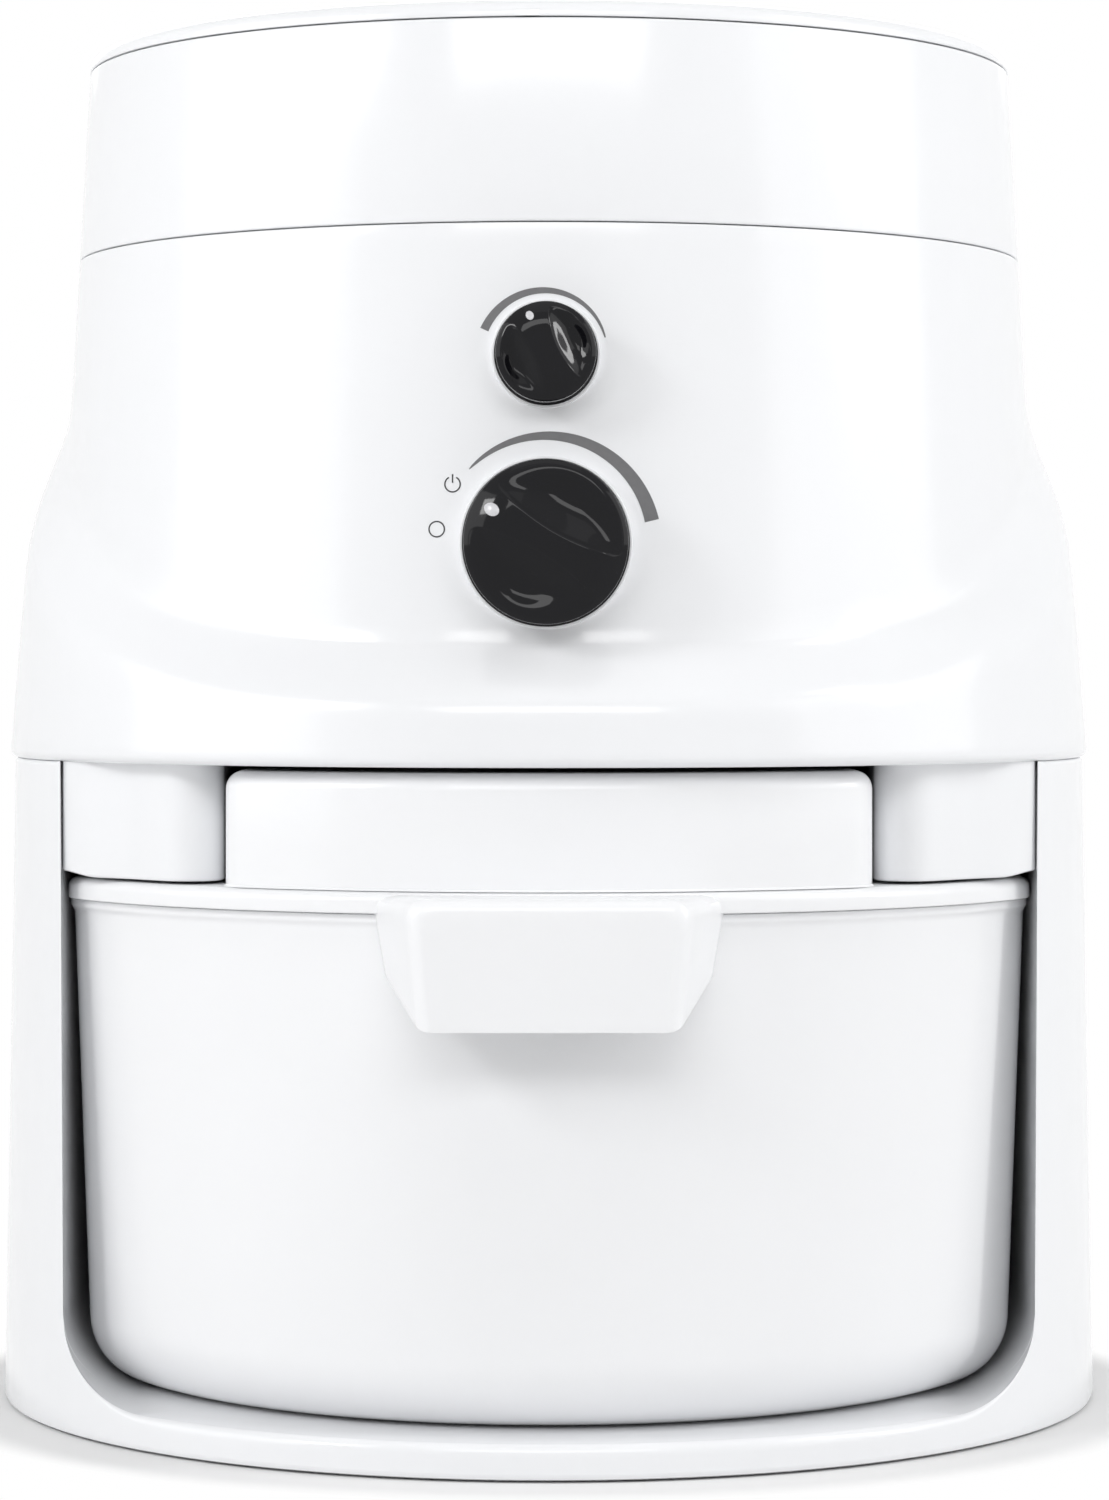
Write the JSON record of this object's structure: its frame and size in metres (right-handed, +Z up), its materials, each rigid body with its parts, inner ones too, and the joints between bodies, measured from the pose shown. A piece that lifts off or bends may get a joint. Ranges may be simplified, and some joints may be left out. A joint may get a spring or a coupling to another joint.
{
  "type": "electric grain mill",
  "caption": "Electric grain mill: hopper with lift-off lid over a motor housing with speed and feed dials, a drum cradle and a slide-out flour bowl with a front pull.",
  "frame": {"origin": "on the table, under the middle of the whole object", "axes": "+Z up, the dials and the bowl's pull face -Y, +X is to the right of someone facing the dials' back, that is to the right in a front view"},
  "size_m": [0.274, 0.298, 0.343],
  "materials": {
    "shell_white": "glossy white ABS",
    "bowl_white": "glossy white moulding",
    "inner_plastic": "plain natural moulding",
    "dark_plastic": "fine matte",
    "dial_black": "satin black, matte in the scoops",
    "rubber": "matte",
    "silicone": "soft matte",
    "steel": "zinc plated",
    "motor_steel": "drawn steel",
    "stainless": "ground stainless",
    "bearing_steel": "ground and polished",
    "cast_aluminium": "die cast",
    "sheet_aluminium": "plain sheet",
    "brass": "turned",
    "copper": "enamelled copper wire",
    "commutator_copper": "bare copper bars",
    "laminations": "varnished sheet stack",
    "carbon": "carbon",
    "board_green": "solder mask",
    "filter_yellow": "potted box and ring",
    "clear_plastic": "smoke-clear moulding",
    "foam": "open-cell foam"
  },
  "bodies": {
    "mill": {"base_cradle": "shell_white", "base_plate": "dark_plastic", "rubber_feet": "rubber", "base_screws": "steel", "frame_screws": "steel", "chassis": "shell_white", "side_rails": "shell_white", "main_housing": "shell_white", "hopper_ring": "shell_white", "hopper_funnel": "inner_plastic", "panel_bushes": "brass", "feed_switch": "dark_plastic", "gate_frame": "inner_plastic", "feed_chute": "inner_plastic", "speed_pot": "dark_plastic", "control_board": "board_green", "heat_sink": "sheet_aluminium", "line_filter": "filter_yellow", "mill_chamber": "cast_aluminium", "chamber_seal": "silicone", "chamber_cover": "cast_aluminium", "chamber_screws": "steel", "stator_head": "stainless", "flour_outlet": "inner_plastic", "motor_frame": "motor_steel", "motor_cap": "cast_aluminium", "motor_bolts": "steel", "field_stack": "laminations", "field_coils": "copper", "bearing_outer_rings": "bearing_steel", "bearing_balls": "bearing_steel", "brush_holders": "brass", "brushes": "carbon", "brush_springs": "steel", "cord_gland": "dark_plastic"},
    "hopper_lid": {"lid": "shell_white"},
    "speed_dial": {"speed_knob": "dial_black", "speed_shaft": "steel"},
    "feed_dial": {"feed_knob": "dial_black", "feed_shaft": "steel", "feed_pinion": "inner_plastic"},
    "feed_gate": {"feed_gate": "inner_plastic"},
    "drawer": {"flour_bowl": "bowl_white", "bowl_handle": "bowl_white", "bowl_lid": "bowl_white", "lid_gasket": "silicone", "inlet_gasket": "silicone", "separator_cup": "clear_plastic", "foam_filter": "foam", "filter_cover": "bowl_white"},
    "rotor": {"rotor_head": "stainless", "rotor_screw": "steel", "armature_stack": "laminations", "armature_windings": "copper", "commutator": "commutator_copper", "rotor_shaft": "steel", "cooling_fan": "inner_plastic", "bearing_inner_rings": "bearing_steel"}
  },
  "joints": [
    {"name": "lid_lift", "type": "slide", "parent": "mill", "child": "hopper_lid", "axis": [0, 0, 1], "range_m": [0, 0.09]},
    {"name": "speed_turn", "type": "hinge", "parent": "mill", "child": "speed_dial", "pos_m": [-0.0007, -0.12, 0.2533], "axis": [0, 1, 0], "range_deg": [-46, 99]},
    {"name": "feed_turn", "type": "hinge", "parent": "mill", "child": "feed_dial", "pos_m": [-0.0007, -0.12, 0.2104], "axis": [0, 1, 0], "range_deg": [-22.5, 138.5]},
    {"name": "gate_slide", "type": "slide", "parent": "mill", "child": "feed_gate", "axis": [1, 0, 0], "range_m": [-0.0036, 0.0213]},
    {"name": "drawer_slide", "type": "slide", "parent": "mill", "child": "drawer", "axis": [0, -1, 0], "range_m": [0, 0.25]},
    {"name": "rotor_spin", "type": "hinge", "parent": "mill", "child": "rotor", "pos_m": [0, 0.04, 0.2], "axis": [0, 0, 1], "continuous": true}
  ],
  "couplings": [
    {"joint": "gate_slide", "follows": "feed_turn", "m_per_rad": 0.00875}
  ]
}
